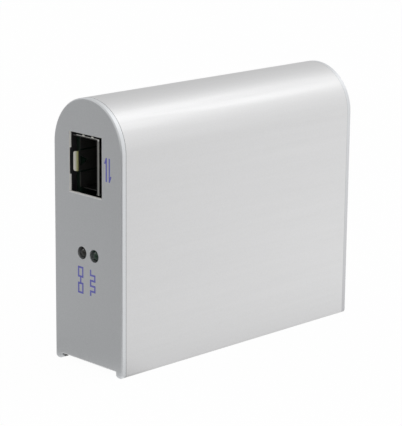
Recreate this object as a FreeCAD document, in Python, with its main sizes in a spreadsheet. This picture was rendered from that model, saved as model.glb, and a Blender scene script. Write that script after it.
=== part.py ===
import FreeCAD, Part
import math
import os
import Sketcher

# Fibre media converter: an extruded aluminium case that stands on edge, closed by a moulded cap at
# each end. Inside, a board on edge carries the transceiver cage, the lamps, a network jack and a DC
# inlet. Millimetres. +Z is up, -Y is the front with the transceiver slot, and the origin is on the
# table under the middle of the case.
#
# Pieces on the board are drawn in the board's own frame: x runs from the front of the case to the
# back, y runs up the case and z stands off the board. seat_on_board() then turns them into place.

Vector = FreeCAD.Vector

SIZES = {
    # case extrusion
    "case_width": 25.5,
    "case_height": 70.0,
    "case_length": 85.0,
    "case_wall": 1.8,
    "floor_thickness": 1.6,
    "floor_rise": 1.45,
    "leg_width": 2.4,
    "leg_round": 0.9,
    "groove_rib": 1.0,
    "groove_depth": 1.6,
    # end caps
    "cap_rim": 1.5,
    "cap_edge_bevel": 0.3,
    "skirt_depth": 4.0,
    "skirt_wall": 1.2,
    "cap_clearance": 0.1,
    "board_gap_clearance": 0.3,
    "boss_width": 5.0,
    "boss_height": 6.5,
    "boss_depth": 7.0,
    # floor screws
    "screw_radius": 1.2,
    "screw_clearance": 0.05,
    "screw_head_radius": 2.2,
    "screw_head_height": 1.1,
    "screw_length": 6.0,
    "screw_inset": 3.5,
    "cross_width": 0.5,
    "cross_length": 2.2,
    "cross_depth": 0.7,
    # board
    "board_offset": 5.4,
    "board_thickness": 1.6,
    "board_clearance": 0.1,
    "board_front_gap": 1.2,
    "board_rear_gap": 0.2,
    "tail_length": 2.2,
    "tail_clearance": 0.15,
    # transceiver slot in the front cap
    "slot_drop": 16.9,
    "slot_length": 15.45,
    "slot_width": 12.29,
    "slot_undercut": 1.42,
    "slot_web": 0.7,
    "slot_relief": 1.2,
    "latch_recess_length": 6.85,
    "latch_recess_web": 0.2,
    # transceiver cage
    "cage_inset": 0.1,
    "cage_length": 48.2,
    "cage_width": 14.15,
    "cage_height": 9.2,
    "cage_sheet": 0.25,
    "cage_bend": 0.5,
    "low_wall_setback": 3.0,
    "cage_tail_width": 0.8,
    "cage_tail_spacing": 10.5,
    "cage_tail_count": 4,
    "cage_tail_start": 6.0,
    # spring collar round the cage mouth
    "collar_sheet": 0.12,
    "collar_fold": 0.6,
    "collar_fold_length": 0.3,
    "collar_length": 5.5,
    "collar_side_height": 8.0,
    "finger_count": 3,
    "finger_width": 0.9,
    "finger_length": 3.6,
    "finger_setback": 0.7,
    "finger_curl": 0.35,
    "finger_spacing": 4.25,
    "finger_clearance": 0.06,
    "side_finger_count": 2,
    "side_finger_spacing": 3.4,
    # cage floor and its latch tongue
    "floor_plate_setback": 2.2,
    "floor_plate_length": 31.0,
    "floor_plate_clearance": 0.05,
    "tongue_width": 5.1,
    "tongue_slit": 0.45,
    "tongue_slit_length": 9.0,
    "tongue_inset": 0.7,
    "lip_radius": 1.0,
    "tongue_round": 0.6,
    "latch_hole_width": 3.0,
    "latch_hole_length": 2.6,
    "latch_hole_setback": 0.4,
    # transceiver connector
    "connector_length": 9.4,
    "connector_width": 12.2,
    "connector_height": 5.6,
    "connector_setback": 2.0,
    "mouth_width": 10.4,
    "mouth_height": 1.5,
    "mouth_rise": 3.2,
    "mouth_depth": 6.0,
    "contact_spacing": 0.8,
    "contact_width": 0.35,
    "contact_sheet": 0.2,
    "contact_count": 10,
    "contact_foot": 1.0,
    # lamps
    "led_height": 30.1,
    "led_low": 3.3,
    "led_spacing": 4.6,
    "led_radius": 1.5,
    "led_flange_radius": 1.9,
    "led_flange": 1.0,
    "led_length": 5.2,
    "led_inset": 0.1,
    "led_hole_radius": 1.65,
    "led_lead": 0.5,
    "led_lead_spacing": 2.54,
    "led_holder_gap": 0.4,
    "led_holder_width": 5.0,
    "led_holder_length": 7.3,
    "led_holder_wall": 0.6,
    "led_fit": 0.05,
    # network jack
    "jack_drop": 22.0,
    "jack_width": 16.0,
    "jack_height": 13.4,
    "jack_length": 21.4,
    "jack_inset": 0.2,
    "jack_sheet": 0.25,
    "jack_clearance": 0.15,
    "insert_clearance": 0.05,
    "port_width": 11.9,
    "port_height": 7.0,
    "port_roof_thickness": 1.5,
    "port_depth": 14.5,
    "port_step_width": 6.2,
    "port_step_depth": 1.6,
    "port_key_width": 3.3,
    "port_key_depth": 1.3,
    "wire_spacing": 1.02,
    "wire_width": 0.45,
    "wire_thickness": 0.35,
    "wire_count": 8,
    "wire_reach": 9.5,
    "wire_tip_drop": 2.2,
    "wire_bend_setback": 1.65,
    "wire_back_gap": 1.3,
    "jack_post_radius": 1.6,
    "jack_post_spacing": 11.4,
    "jack_post_setback": 9.0,
    # DC inlet
    "inlet_height": 22.0,
    "inlet_width": 9.0,
    "inlet_tall": 11.0,
    "inlet_length": 14.2,
    "inlet_flange": 3.5,
    "inlet_axis": 6.5,
    "inlet_barrel_radius": 4.0,
    "inlet_bore_radius": 3.15,
    "inlet_bore_depth": 10.0,
    "inlet_gap": 0.1,
    "inlet_hole_radius": 4.0,
    "inlet_pin_radius": 1.0,
    "inlet_pin_length": 9.4,
    "inlet_pin_bevel": 0.5,
    "inlet_strip": 0.3,
    "inlet_strip_width": 2.2,
    "inlet_spring_setback": 0.45,
    "inlet_spring_rise": 0.9,
    # main chip
    "chip_size": 12.0,
    "chip_thickness": 1.4,
    "chip_along": -12.0,
    "chip_up": 20.0,
    "chip_lead_spacing": 1.27,
    "chip_lead_count": 7,
    # leads of all packages
    "lead_width": 0.35,
    "lead_sheet": 0.15,
    "lead_rise": 0.7,
    "lead_shoulder": 0.35,
    "lead_foot": 0.7,
    "package_standoff": 0.1,
    # pulse transformer, between the jack and the capacitors
    "transformer_length": 9.4,
    "transformer_width": 12.7,
    "transformer_height": 5.6,
    "transformer_setback": 4.0,
    "transformer_gap": 7.0,
    "transformer_lead_count": 6,
    "transformer_lead_spacing": 1.8,
    # small packages
    "small_length": 4.9,
    "small_width": 3.9,
    "small_thickness": 1.5,
    "small_lead_count": 4,
    "small_lead_spacing": 1.27,
    "memory_along": 0.0,
    "regulator_along": 14.0,
    "regulator_up": 10.0,
    # crystal can
    "crystal_length": 11.2,
    "crystal_width": 4.6,
    "crystal_height": 3.6,
    "crystal_flange": 0.4,
    "crystal_gap": 4.0,
    # inductor
    "inductor_size": 7.3,
    "inductor_height": 4.0,
    "inductor_corner": 1.4,
    "inductor_well_radius": 2.6,
    "inductor_well_depth": 0.3,
    "inductor_along": 5.0,
    "inductor_up": 10.0,
    # electrolytic capacitors
    "can_radius": 2.5,
    "can_height": 5.4,
    "can_groove": 0.25,
    "can_groove_rise": 0.6,
    "can_base_size": 5.3,
    "can_base_height": 0.8,
    "can_base_cut": 1.0,
    "can_along": 6.0,
    "can_up": 20.0,
    "can_spacing": 7.0,
    # chip capacitors and resistors
    "passive_length": 1.6,
    "passive_width": 0.8,
    "passive_height": 0.75,
    "passive_spacing": 2.6,
    "passive_count": 5,
    "passive_up": 7.5,
    "resistor_height": 0.5,
    "resistor_row_gap": 2.4,
    "passive_along": -24.0,
}


class Length:
    """A size that carries its spreadsheet expression along with its value."""

    def __init__(self, value, text=None):
        self.value = float(value)
        self.text = text or f"({self.value:.9g})"

    def __add__(self, other):
        other = as_length(other)
        return Length(self.value + other.value, f"({self.text} + {other.text})")

    def __sub__(self, other):
        other = as_length(other)
        return Length(self.value - other.value, f"({self.text} - {other.text})")

    def __rsub__(self, other):
        return as_length(other) - self

    def __mul__(self, factor):
        factor = as_length(factor)
        return Length(self.value * factor.value, f"({self.text} * {factor.text})")

    def __truediv__(self, divisor):
        divisor = as_length(divisor)
        return Length(self.value / divisor.value, f"({self.text} / {divisor.text})")

    def __neg__(self):
        return Length(-self.value, f"(-{self.text})")

    __radd__ = __add__
    __rmul__ = __mul__


def as_length(number):
    return number if isinstance(number, Length) else Length(number)


def root(square):
    return Length(math.sqrt(square.value), f"sqrt({square.text})")


class Sizes:
    """The driving sizes, read back from the spreadsheet by name."""

    def __init__(self, document, sizes):
        sheet = document.addObject("Spreadsheet::Sheet", "Sizes")
        for row, (name, value) in enumerate(sizes.items(), start=1):
            sheet.set(f"A{row}", name)
            sheet.set(f"B{row}", str(value))
            sheet.setAlias(f"B{row}", name)
        document.recompute()
        for name in sizes:
            setattr(self, name, Length(sheet.get(name), f"Sizes.{name}"))


document = FreeCAD.newDocument("media_converter")
size = Sizes(document, SIZES)


# ---- drawing helpers ----------------------------------------------------------------------------


def new_body(label):
    body = document.addObject("PartDesign::Body", label)
    body.Label = label
    return body


def origin_feature(body, role):
    return next(item for item in body.Origin.OriginFeatures if item.Role == role)


def arc_to(corner, centre, turn=1):
    """A corner from which the outline runs on in an arc round centre: turn 1 is anticlockwise."""
    return (*corner, *centre, turn)


def rectangle(x_low, y_low, x_high, y_high):
    return [(x_low, y_low), (x_high, y_low), (x_high, y_high), (x_low, y_high)]


def circle(x, y, radius):
    return ("circle", as_length(x), as_length(y), as_length(radius))


def bind(sketch, kind, geometry, position, value):
    """Ties one coordinate of a sketch point to its expression."""
    row = sketch.addConstraint(
        Sketcher.Constraint(kind, -1, 1, geometry, position, value.value)
    )
    sketch.setExpression(f"Constraints[{row}]", value.text)


def draw_circle(sketch, x, y, radius):
    row = sketch.addGeometry(Part.Circle(Vector(x.value, y.value), Vector(0, 0, 1), radius.value))
    bind(sketch, "DistanceX", row, 3, x)
    bind(sketch, "DistanceY", row, 3, y)
    fixed = sketch.addConstraint(Sketcher.Constraint("Radius", row, radius.value))
    sketch.setExpression(f"Constraints[{fixed}]", radius.text)


def draw_loop(sketch, corners):
    """Draws a closed outline of straight lines and arcs, with every corner bound to the sheet."""
    edges = []
    for index, corner in enumerate(corners):
        start = [as_length(value) for value in corner[:2]]
        end = [as_length(value) for value in corners[(index + 1) % len(corners)][:2]]
        first = Vector(start[0].value, start[1].value)
        last = Vector(end[0].value, end[1].value)
        if len(corner) == 2:
            row = sketch.addGeometry(Part.LineSegment(first, last))
            edges.append((row, 1, 2, start, None))
            continue
        centre = [as_length(value) for value in corner[2:4]]
        middle = Vector(centre[0].value, centre[1].value)
        anticlockwise = corner[4] > 0
        if not anticlockwise:
            first, last = last, first
        turns = [math.atan2(point.y - middle.y, point.x - middle.x) for point in (first, last)]
        if turns[1] <= turns[0]:
            turns[1] += 2 * math.pi
        ring = Part.Circle(middle, Vector(0, 0, 1), (first - middle).Length)
        row = sketch.addGeometry(Part.ArcOfCircle(ring, *turns))
        chord = last - first
        held = ("DistanceY", centre[1]) if abs(chord.x) >= abs(chord.y) else ("DistanceX", centre[0])
        ends = (1, 2) if anticlockwise else (2, 1)
        edges.append((row, *ends, start, held))
    for index, (row, _, tail, _, _) in enumerate(edges):
        follower = edges[(index + 1) % len(edges)]
        sketch.addConstraint(Sketcher.Constraint("Coincident", row, tail, follower[0], follower[1]))
    for row, head, _, start, held in edges:
        bind(sketch, "DistanceX", row, head, start[0])
        bind(sketch, "DistanceY", row, head, start[1])
        if held:
            bind(sketch, held[0], row, 3, held[1])


def new_sketch(body, name, role, offset, loops):
    """A sketch parallel to one of the body's origin planes; offset is (x, y, z) in that plane."""
    sketch = body.newObject("Sketcher::SketchObject", f"{name}_sketch")
    sketch.AttachmentSupport = [(origin_feature(body, role), "")]
    sketch.MapMode = "FlatFace"
    for axis, value in zip("xyz", offset):
        sketch.setExpression(f".AttachmentOffset.Base.{axis}", as_length(value).text)
    for loop in loops:
        if loop[0] == "circle":
            draw_circle(sketch, *loop[1:])
        else:
            draw_loop(sketch, loop)
    return sketch


def extrude(body, kind, name, plane, ends, *loops):
    """Pads or pockets outlines between two coordinates along the plane's normal."""
    low, high = sorted((as_length(end) for end in ends), key=lambda end: end.value)
    offset = -high if plane == "XZ" else low
    sketch = new_sketch(body, name, f"{plane}_Plane", (0, 0, offset), loops)
    feature = body.newObject(f"PartDesign::{kind}", name)
    feature.Profile = sketch
    feature.setExpression("Length", (high - low).text)
    if kind == "Pocket":
        feature.Reversed = True
    return feature


def pad(body, name, plane, ends, *loops):
    return extrude(body, "Pad", name, plane, ends, *loops)


def pocket(body, name, plane, ends, *loops):
    return extrude(body, "Pocket", name, plane, ends, *loops)


def turn(body, kind, name, plane, offset, outline, axis):
    """Turns an outline about one axis of its sketch, as a Revolution or a Groove."""
    sketch = new_sketch(body, name, f"{plane}_Plane", offset, [outline])
    feature = body.newObject(f"PartDesign::{kind}", name)
    feature.Profile = sketch
    feature.ReferenceAxis = (sketch, [axis])
    feature.Angle = 360
    return feature


def repeat(body, features, axis, count, spacing):
    """Repeats features along an origin axis; the repeats stay separate where they don't touch."""
    pattern = body.newObject("PartDesign::LinearPattern", f"{features[0].Name}_row")
    pattern.Originals = features
    pattern.Direction = (origin_feature(body, f"{axis}_Axis"), [""])
    pattern.setExpression("Length", (spacing * (count - 1)).text)
    pattern.setExpression("Occurrences", count.text)
    body.Tip = pattern
    return pattern


def bevel_edges(body, name, width, chosen):
    """Bevels the edges of the body's last feature that chosen() picks."""
    document.recompute()
    base = body.Tip
    names = [f"Edge{row}" for row, edge in enumerate(base.Shape.Edges, start=1) if chosen(edge)]
    bevel = body.newObject("PartDesign::Chamfer", name)
    bevel.Base = (base, names)
    bevel.setExpression("Size", width.text)
    return bevel


def cut_away(label, moulding, insert):
    """The moulding with the seat of the metal that is moulded into it."""
    seated = document.addObject("Part::Cut", label)
    seated.Base = moulding
    seated.Tool = insert
    seated.Label = label
    return seated


def seat_on_board(body, along=0, up=0, off=0):
    """Turns a piece from the board's frame into the case: along is y, up is z, off is x."""
    body.Placement = FreeCAD.Placement(Vector(), FreeCAD.Rotation(Vector(1, 1, 1), 120))
    place = (as_length(off) - size.board_offset, as_length(along), as_length(up))
    for axis, value in zip("xyz", place):
        body.setExpression(f".Placement.Base.{axis}", value.text)


# ---- shared places ------------------------------------------------------------------------------

half_width = size.case_width / 2
half_length = size.case_length / 2
arch_height = size.case_height - half_width
inner_half = half_width - size.case_wall
floor_top = size.floor_rise + size.floor_thickness
front_face = -half_length
front_seam = front_face + size.cap_rim
rear_face = half_length
rear_seam = rear_face - size.cap_rim

board_face = -size.board_offset
board_back = board_face - size.board_thickness
board_front = front_seam + size.board_front_gap
board_rear = rear_seam - size.board_rear_gap
board_bottom = floor_top + size.board_clearance
rib_edges = [
    board_back - size.board_clearance - size.groove_rib,
    board_back - size.board_clearance,
    board_face + size.board_clearance,
    board_face + size.board_clearance + size.groove_rib,
]

slot_height = size.case_height - size.slot_drop
cage_front = front_face + size.cage_inset
cage_rear = cage_front + size.cage_length
jack_height_up = size.case_height - size.jack_drop
jack_front = rear_face - size.jack_inset
jack_back = jack_front - size.jack_length
jack_wire_back = jack_back + size.wire_back_gap
port_roof = size.jack_height - size.port_roof_thickness
inlet_front = rear_seam - size.inlet_gap
inlet_back = inlet_front - size.inlet_length
led_tip = front_face + size.led_inset
led_back = led_tip + size.led_length
holder_front = front_seam + size.led_holder_gap
holder_back = holder_front + size.led_holder_length


def arch(x, radius):
    """Height of the half-round top at x, for an arch of this radius."""
    return arch_height + root(radius * radius - x * x)


board_top = arch(board_back, inner_half) - size.board_clearance


def case_outline():
    """End view of the case: two legs, straight sides and the half-round top."""
    inner = half_width - size.leg_width
    r = size.leg_round
    return [
        (inner, size.floor_rise),
        arc_to((inner, r), (inner + r, r)),
        (inner + r, 0),
        arc_to((half_width - r, 0), (half_width - r, r)),
        (half_width, r),
        arc_to((half_width, arch_height), (0, arch_height)),
        (-half_width, arch_height),
        arc_to((-half_width, r), (r - half_width, r)),
        (r - half_width, 0),
        arc_to((-inner - r, 0), (-inner - r, r)),
        (-inner, r),
        (-inner, size.floor_rise),
    ]


def tunnel_outline(inset):
    """The plain inside of the case, drawn in by inset on all sides."""
    reach = inner_half - inset
    low = floor_top + inset
    return [
        (-reach, low),
        (reach, low),
        arc_to((reach, arch_height), (0, arch_height)),
        (-reach, arch_height),
    ]


def grooved_outline():
    """The inside of the extrusion, with ribs that hold the board at the floor and at the arch."""
    rib_top = floor_top + size.groove_depth
    rib_low = board_top - size.groove_depth
    centre = (0, arch_height)
    x0, x1, x2, x3 = rib_edges
    floor_side = [(-inner_half, floor_top)]
    for left, right in ((x0, x1), (x2, x3)):
        floor_side += [(left, floor_top), (left, rib_top), (right, rib_top), (right, floor_top)]
    arch_side = [
        (inner_half, floor_top),
        arc_to((inner_half, arch_height), centre),
        (x3, arch(x3, inner_half)),
        (x3, rib_low),
        (x2, rib_low),
        arc_to((x2, arch(x2, inner_half)), centre),
        (x1, arch(x1, inner_half)),
        (x1, rib_low),
        (x0, rib_low),
        arc_to((x0, arch(x0, inner_half)), centre),
        (-inner_half, arch_height),
    ]
    return floor_side + arch_side


def screw_places():
    return [front_seam + size.screw_inset, rear_seam - size.screw_inset]


# ---- case ---------------------------------------------------------------------------------------


def make_housing():
    """One length of extrusion, drilled for the floor screws."""
    body = new_body("housing")
    pad(body, "extrusion", "XZ", (front_seam, rear_seam), case_outline(), grooved_outline())
    radius = size.screw_radius + size.screw_clearance
    holes = [circle(0, place, radius) for place in screw_places()]
    pocket(body, "screw_holes", "XY", (size.floor_rise, floor_top), *holes)
    return body


def make_cap(label, face, seam, inward):
    """A cap: a flush plate with a bevelled rim, a skirt inside the case and a boss for its screw."""
    body = new_body(label)
    pad(body, f"{label}_plate", "XZ", (face, seam), case_outline())
    bevel_edges(
        body,
        f"{label}_rim",
        size.cap_edge_bevel,
        lambda edge: abs(edge.BoundBox.YMin - face.value) + abs(edge.BoundBox.YMax - face.value) < 1e-6,
    )
    skirt_end = seam + size.skirt_depth * inward
    outer = size.cap_clearance
    ring = tunnel_outline(outer), tunnel_outline(outer + size.skirt_wall)
    pad(body, f"{label}_skirt", "XZ", (seam, skirt_end), *ring)
    band = rectangle(
        rib_edges[0] - size.board_gap_clearance,
        size.floor_rise,
        rib_edges[3] + size.board_gap_clearance,
        size.case_height,
    )
    pocket(body, f"{label}_board_gap", "XZ", (seam, skirt_end), band)
    boss_low = floor_top + size.cap_clearance
    boss = rectangle(-size.boss_width / 2, boss_low, size.boss_width / 2, boss_low + size.boss_height)
    pad(body, f"{label}_boss", "XZ", (seam, seam + size.boss_depth * inward), boss)
    pilot = circle(0, seam + size.screw_inset * inward, size.screw_radius + size.screw_clearance)
    pilot_top = size.floor_rise + size.screw_length + size.screw_clearance
    pocket(body, f"{label}_pilot", "XY", (floor_top, pilot_top), pilot)
    return body


def led_places():
    """Lamp axes as heights above the board."""
    return [size.led_low, size.led_low + size.led_spacing]


def make_front_cap():
    """The cap with the transceiver slot, thinned from behind round it and behind the latch."""
    body = make_cap("front_cap", front_face, front_seam, 1)
    left = board_face - size.slot_undercut
    right = left + size.slot_width
    low = slot_height - size.slot_length / 2
    high = slot_height + size.slot_length / 2
    slot = rectangle(left, low, right, high)
    pocket(body, "transceiver_slot", "XZ", (front_face, front_seam), slot)
    margin = size.slot_relief
    relief = rectangle(left - margin, low - margin, right + margin, high + margin)
    web_back = front_face + size.slot_web
    pocket(body, "slot_relief", "XZ", (web_back, front_seam), relief)
    reach = size.latch_recess_length / 2
    recess = rectangle(left - margin, slot_height - reach, left, slot_height + reach)
    pocket(body, "latch_recess", "XZ", (front_face + size.latch_recess_web, web_back), recess)
    holes = [circle(board_face + off, size.led_height, size.led_hole_radius) for off in led_places()]
    pocket(body, "lamp_holes", "XZ", (front_face, front_seam), *holes)
    return body


def make_rear_cap():
    body = make_cap("rear_cap", rear_face, rear_seam, -1)
    gap = size.jack_clearance
    jack = rectangle(
        board_face - gap,
        jack_height_up - size.jack_width / 2 - gap,
        board_face + size.jack_height + gap,
        jack_height_up + size.jack_width / 2 + gap,
    )
    pocket(body, "jack_opening", "XZ", (rear_seam, rear_face), jack)
    hole = circle(board_face + size.inlet_axis, size.inlet_height, size.inlet_hole_radius)
    pocket(body, "inlet_hole", "XZ", (rear_seam, rear_face), hole)
    return body


def make_floor_screws():
    """Screws with flat round heads and a cross recess, in the space between the legs."""
    body = new_body("floor_screws")
    underside = size.floor_rise
    bottom = underside - size.screw_head_height
    heads = [circle(0, place, size.screw_head_radius) for place in screw_places()]
    shanks = [circle(0, place, size.screw_radius) for place in screw_places()]
    pad(body, "screw_heads", "XY", (bottom, underside), *heads)
    pad(body, "screw_shanks", "XY", (bottom, underside + size.screw_length), *shanks)
    wide, thin = size.cross_length / 2, size.cross_width / 2
    ends = (bottom, bottom + size.cross_depth)
    across = [rectangle(-wide, place - thin, wide, place + thin) for place in screw_places()]
    along = [rectangle(-thin, place - wide, thin, place + wide) for place in screw_places()]
    pocket(body, "recess_across", "XY", ends, *across)
    pocket(body, "recess_along", "XY", ends, *along)
    return body


# ---- transceiver cage ---------------------------------------------------------------------------


def cage_tail_rows():
    """Distances of the cage's board tails from the front of the case."""
    first = cage_front + size.cage_tail_start
    return [first + size.cage_tail_spacing * row for row in range(int(size.cage_tail_count.value))]


def folded_channel(half, height, sheet, bend):
    """End view of a sheet folded into a channel that opens towards the board."""
    inner = half - sheet
    shoulder = half - bend
    turn_height = height - bend
    return [
        (-half, 0),
        (-inner, 0),
        arc_to((-inner, turn_height), (-shoulder, turn_height), -1),
        (-shoulder, height - sheet),
        arc_to((shoulder, height - sheet), (shoulder, turn_height), -1),
        (inner, turn_height),
        (inner, 0),
        (half, 0),
        arc_to((half, turn_height), (shoulder, turn_height)),
        (shoulder, height),
        arc_to((-shoulder, height), (-shoulder, turn_height)),
        (-half, turn_height),
    ]


def make_cage_shell():
    """Top, sides and back of the cage, folded from one sheet, with tails through the board."""
    body = new_body("cage_shell")
    half = size.cage_width / 2
    section = folded_channel(half, size.cage_height, size.cage_sheet, size.cage_bend)
    pad(body, "cage_channel", "YZ", (cage_front, cage_rear), section)
    shoulder = half - size.cage_bend
    turn_height = size.cage_height - size.cage_bend
    back = [
        (-half, size.cage_sheet),
        (half, size.cage_sheet),
        arc_to((half, turn_height), (shoulder, turn_height)),
        (shoulder, size.cage_height),
        arc_to((-shoulder, size.cage_height), (-shoulder, turn_height)),
        (-half, turn_height),
    ]
    pad(body, "cage_back", "YZ", (cage_rear - size.cage_sheet, cage_rear), back)
    inner = half - size.cage_sheet
    low_wall = rectangle(cage_front, 0, cage_front + size.low_wall_setback, turn_height)
    pocket(body, "low_wall_setback", "XZ", (-half, -inner), low_wall)
    tails = []
    for place in cage_tail_rows():
        low, high = place - size.cage_tail_width / 2, place + size.cage_tail_width / 2
        tails.append(rectangle(low, -size.tail_length, high, size.cage_sheet))
    pad(body, "low_tails", "XZ", (-half, -inner), *tails)
    pad(body, "high_tails", "XZ", (inner, half), *tails)
    seat_on_board(body, up=slot_height)
    return body


def finger(root_height, reach, sheet):
    """Side view of a spring finger: forwards out of the band, over a crest and back down."""
    crest = cage_front + size.finger_setback
    curl = size.finger_curl
    end = crest + size.finger_length
    high = root_height + reach
    return [
        (crest - curl, high - curl),
        (crest - curl, high - curl - sheet),
        (crest, high - sheet),
        (end, root_height),
        (end, root_height + sheet),
        (crest, high),
    ]


def make_spring_collar():
    """Spring strip round the top and the upper wall of the mouth; its fingers bear on the cap."""
    body = new_body("spring_collar")
    half = size.cage_width / 2
    top = size.cage_height
    sheet = size.collar_sheet
    foot = top - size.collar_side_height
    fold_end = cage_front + size.collar_fold_length

    def strap(name, ends, thick):
        bend = [
            (half, foot),
            (half + sheet, foot),
            (half + sheet, top + thick),
            (-half, top + thick),
            (-half, top),
            (half, top),
        ]
        pad(body, name, "YZ", ends, bend)

    strap("collar_fold", (cage_front, fold_end), size.collar_fold)
    strap("collar_band", (fold_end, cage_front + size.collar_length), sheet)
    wide = size.finger_width / 2
    reach = size.slot_width - size.slot_undercut - top - size.finger_clearance
    low = -size.finger_spacing * (size.finger_count - 1) / 2
    profile = finger(top, reach, sheet)
    top_finger = pad(body, "top_finger", "XZ", (low - wide, low + wide), profile)
    repeat(body, [top_finger], "Y", size.finger_count, size.finger_spacing)
    side_reach = size.slot_length / 2 - half - size.finger_clearance
    span = size.side_finger_spacing * (size.side_finger_count - 1)
    centre = top - (size.collar_side_height + span) / 2
    profile = finger(half, side_reach, sheet)
    side_finger = pad(body, "side_finger", "XY", (centre - wide, centre + wide), profile)
    repeat(body, [side_finger], "Z", size.side_finger_count, size.side_finger_spacing)
    seat_on_board(body, up=slot_height)
    return body


def make_cage_floor():
    """Bottom sheet of the cage, slit into a latch tongue whose lip bends towards the board edge."""
    body = new_body("cage_floor")
    sheet = size.cage_sheet
    half = size.cage_width / 2 - sheet - size.floor_plate_clearance
    plate_front = cage_front + size.floor_plate_setback
    plate = rectangle(plate_front, -half, plate_front + size.floor_plate_length, half)
    pad(body, "floor_plate", "XY", (0, sheet), plate)
    tongue = size.tongue_width / 2
    slits = [
        rectangle(plate_front, edge, plate_front + size.tongue_slit_length, edge + size.tongue_slit)
        for edge in (tongue, -tongue - size.tongue_slit)
    ]
    pocket(body, "tongue_slits", "XY", (0, sheet), *slits)
    tip = cage_front + size.tongue_inset
    bend = tip + size.lip_radius
    lip_end = sheet - size.lip_radius
    lip = [
        (plate_front, 0),
        (plate_front, sheet),
        arc_to((bend, sheet), (bend, lip_end)),
        (tip, lip_end),
        arc_to((tip + sheet, lip_end), (bend, lip_end), -1),
        (bend, 0),
    ]
    pad(body, "tongue_lip", "XZ", (-tongue, tongue), lip)
    base = bend + size.latch_hole_setback
    hole = [
        (base, -size.latch_hole_width / 2),
        (base + size.latch_hole_length, 0),
        (base, size.latch_hole_width / 2),
    ]
    pocket(body, "latch_hole", "XY", (0, sheet), hole)
    r = size.tongue_round
    corners = [
        [
            (tongue * side, lip_end),
            arc_to((tongue * side, lip_end + r), ((tongue - r) * side, lip_end + r), -side),
            ((tongue - r) * side, lip_end),
        ]
        for side in (-1, 1)
    ]
    pocket(body, "lip_corners", "YZ", (tip, bend), *corners)
    seat_on_board(body, up=slot_height)
    return body


def connector_front():
    """Distance of the transceiver connector's mouth from the middle of the case."""
    return cage_rear - size.connector_setback - size.connector_length


def make_slot_contacts():
    """Two rows of contacts: beams in the connector's mouth, tails behind it down to the board."""
    body = new_body("slot_contacts")
    front = connector_front()
    back = front + size.connector_length
    sheet = size.contact_sheet
    roof = size.mouth_rise + size.mouth_height
    beam = front + size.contact_foot
    wide = size.contact_width / 2
    heel = back + size.contact_foot / 2
    upper = [
        (beam, roof - sheet),
        (heel, roof - sheet),
        (heel, 0),
        (heel + size.contact_foot, 0),
        (heel + size.contact_foot, sheet),
        (heel + sheet, sheet),
        (heel + sheet, roof),
        (beam, roof),
    ]
    floor = size.mouth_rise
    toe = front - size.contact_foot / 2
    lower = [
        (toe - size.contact_foot, 0),
        (toe, 0),
        (toe, floor),
        (front + size.mouth_depth - size.contact_foot, floor),
        (front + size.mouth_depth - size.contact_foot, floor + sheet),
        (toe - sheet, floor + sheet),
        (toe - sheet, sheet),
        (toe - size.contact_foot, sheet),
    ]
    first = -size.contact_spacing * (size.contact_count - 1) / 2
    rows = []
    for name, outline in (("upper_contact", upper), ("lower_contact", lower)):
        rows.append(pad(body, name, "XZ", (first - wide, first + wide), outline))
    repeat(body, rows, "Y", size.contact_count, size.contact_spacing)
    seat_on_board(body, up=slot_height)
    return body


def make_slot_connector(contacts):
    """Moulded connector at the back of the cage, with a mouth for the transceiver's card edge."""
    body = new_body("slot_connector_moulding")
    front = connector_front()
    back = front + size.connector_length
    half = size.connector_width / 2
    section = rectangle(-half, 0, half, size.connector_height)
    pad(body, "connector_block", "YZ", (front, back), section)
    mouth = rectangle(
        -size.mouth_width / 2,
        size.mouth_rise,
        size.mouth_width / 2,
        size.mouth_rise + size.mouth_height,
    )
    pocket(body, "connector_mouth", "YZ", (front, front + size.mouth_depth), mouth)
    seat_on_board(body, up=slot_height)
    return cut_away("slot_connector", body, contacts)


# ---- board --------------------------------------------------------------------------------------


def tail_slot(along, up, length, width):
    """A plated slot for a flat tail of this length and width."""
    far, wide = length / 2 + size.tail_clearance, width / 2 + size.tail_clearance
    return rectangle(along - far, up - wide, along + far, up + wide)


def tail_slots():
    """Everything that passes through the board, as outlines in the board's frame."""
    outlines = []
    for side in (-1, 1):
        wall = slot_height + (size.cage_width - size.cage_sheet) / 2 * side
        for place in cage_tail_rows():
            outlines.append(tail_slot(place, wall, size.cage_tail_width, size.cage_sheet))
        leg = size.led_height + size.led_lead_spacing / 2 * side
        for place in led_lead_places():
            outlines.append(tail_slot(place, leg, size.led_lead, size.led_lead))
        post = jack_height_up + size.jack_post_spacing / 2 * side
        along = jack_front - size.jack_post_setback
        outlines.append(circle(along, post, size.jack_post_radius + size.tail_clearance))
    for place in jack_wire_rows():
        along = jack_wire_back + size.wire_thickness / 2
        outlines.append(tail_slot(along, place, size.wire_thickness, size.wire_width))
    for place in inlet_strip_places():
        outlines.append(
            tail_slot(place, size.inlet_height, size.inlet_strip, size.inlet_strip_width)
        )
    return outlines


def make_main_board():
    """The circuit board, on edge in the grooves of the case."""
    body = new_body("main_board")
    plate = rectangle(board_front, board_bottom, board_rear, board_top)
    pad(body, "board_plate", "XY", (-size.board_thickness, 0), plate, *tail_slots())
    seat_on_board(body)
    return body


# ---- lamps --------------------------------------------------------------------------------------


def led_lead_places():
    """Where the leads of the low and the high lamp turn down to the board."""
    first = led_back + size.led_holder_wall
    return [first, first + size.led_lead_spacing]


def make_led(label, off):
    """A round lamp: a domed lens on a flange."""
    body = new_body(label)
    r = size.led_radius
    outline = [
        arc_to((0, 0), (r, 0), -1),
        (r, r),
        (size.led_length - size.led_flange, r),
        (size.led_length - size.led_flange, size.led_flange_radius),
        (size.led_length, size.led_flange_radius),
        (size.led_length, 0),
    ]
    turn(body, "Revolution", f"{label}_lens", "XZ", (0, 0, 0), outline, "H_Axis")
    seat_on_board(body, along=led_tip, up=size.led_height, off=off)
    return body


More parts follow.
